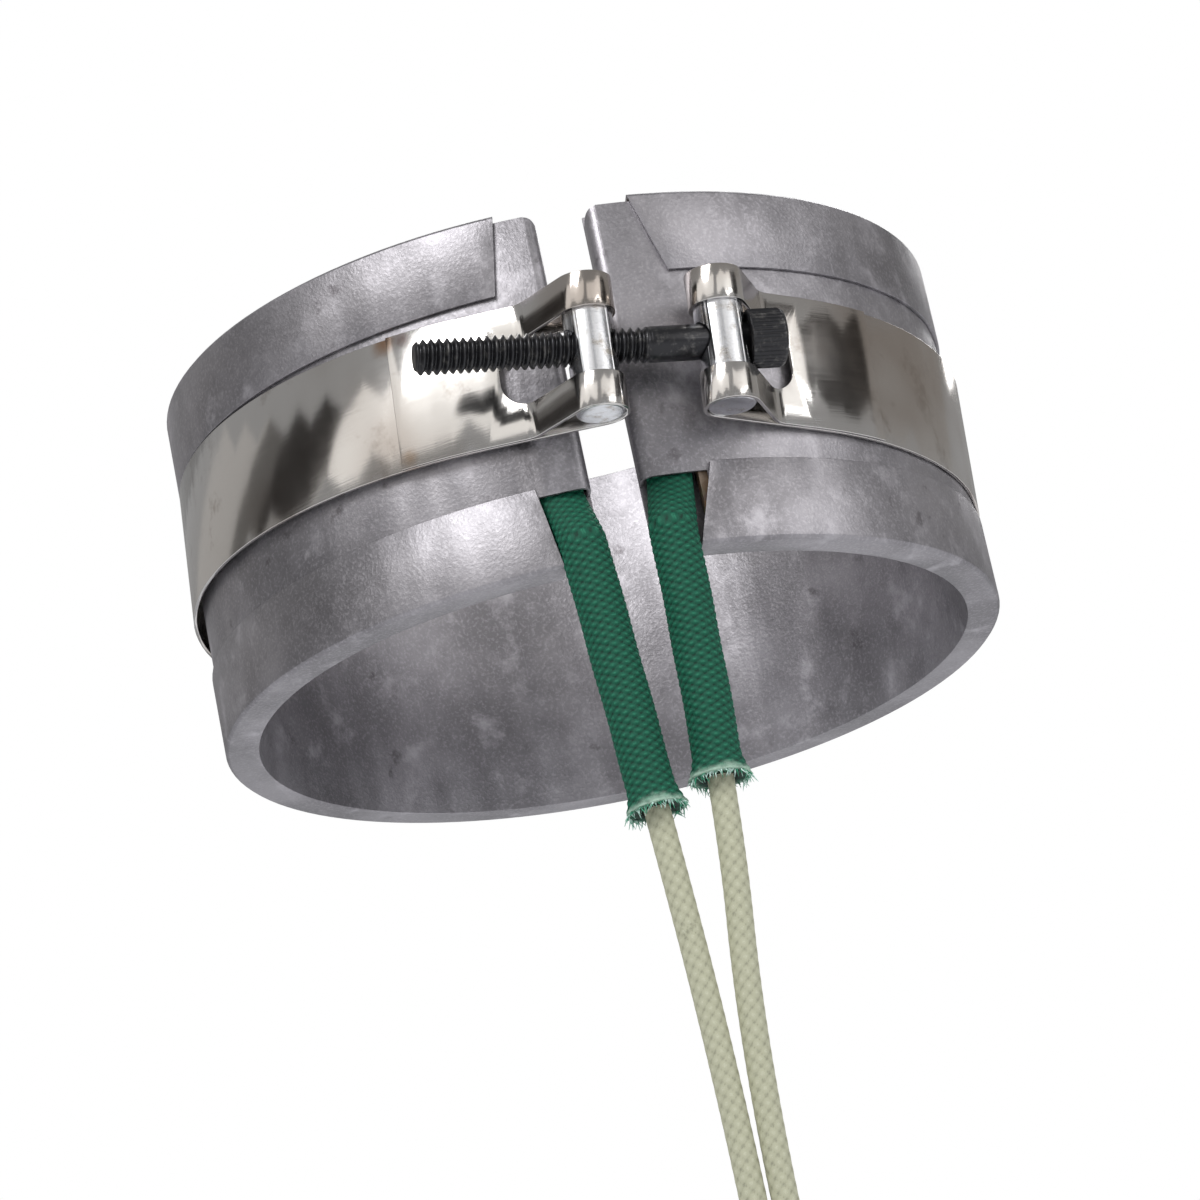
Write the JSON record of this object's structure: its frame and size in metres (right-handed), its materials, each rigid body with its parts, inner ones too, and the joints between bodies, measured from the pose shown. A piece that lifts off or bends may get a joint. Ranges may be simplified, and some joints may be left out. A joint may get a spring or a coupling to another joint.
{
  "type": "band heater",
  "caption": "Round mica band heater in a folded steel sheath, held on a barrel by a clamping strap with a socket screw, with two braided leads.",
  "frame": {"origin": "centre of the bore, at the middle of the band's width", "axes": "+Z along the bore axis away from the leads, -Y from the axis through the expansion gap, +X to the right of a viewer who faces the gap"},
  "size_m": [0.1134, 0.1235, 0.2624],
  "materials": {
    "sheath": "dull, scuffed, aluminium-coated sheet",
    "mica": "matte",
    "resistance_alloy": "satin",
    "polished_strap": "polished, heat-tinted at the welds",
    "zinc_plate": "bright",
    "black_oxide": "oiled black oxide",
    "sleeve_braid": "coarse braid",
    "lead_braid": "fine varnished braid",
    "lead_strand": "nickel-plated strands"
  },
  "bodies": {
    "band": {"inner_sheath": "sheath", "outer_sheath": "sheath", "inner_mica": "mica", "mica_core": "mica", "outer_mica": "mica", "heating_ribbon": "resistance_alloy", "left_terminal": "resistance_alloy", "right_terminal": "resistance_alloy", "clamp_strap": "polished_strap", "threaded_barrel": "zinc_plate", "plain_barrel": "zinc_plate", "left_sleeve": "sleeve_braid", "right_sleeve": "sleeve_braid", "left_feed_wire": "lead_strand", "right_feed_wire": "lead_strand", "left_lead": "lead_braid", "right_lead": "lead_braid", "left_wire": "lead_strand", "right_wire": "lead_strand"},
    "clamp_screw": {"clamp_screw": "black_oxide"}
  },
  "joints": [
    {"name": "clamp_screw_turn", "type": "hinge", "parent": "band", "child": "clamp_screw", "pos_m": [0.00838, -0.06042, 0.0009], "axis": [0.9887, 0.1372, -0.0611], "range_deg": [-2246, 8640]}
  ]
}
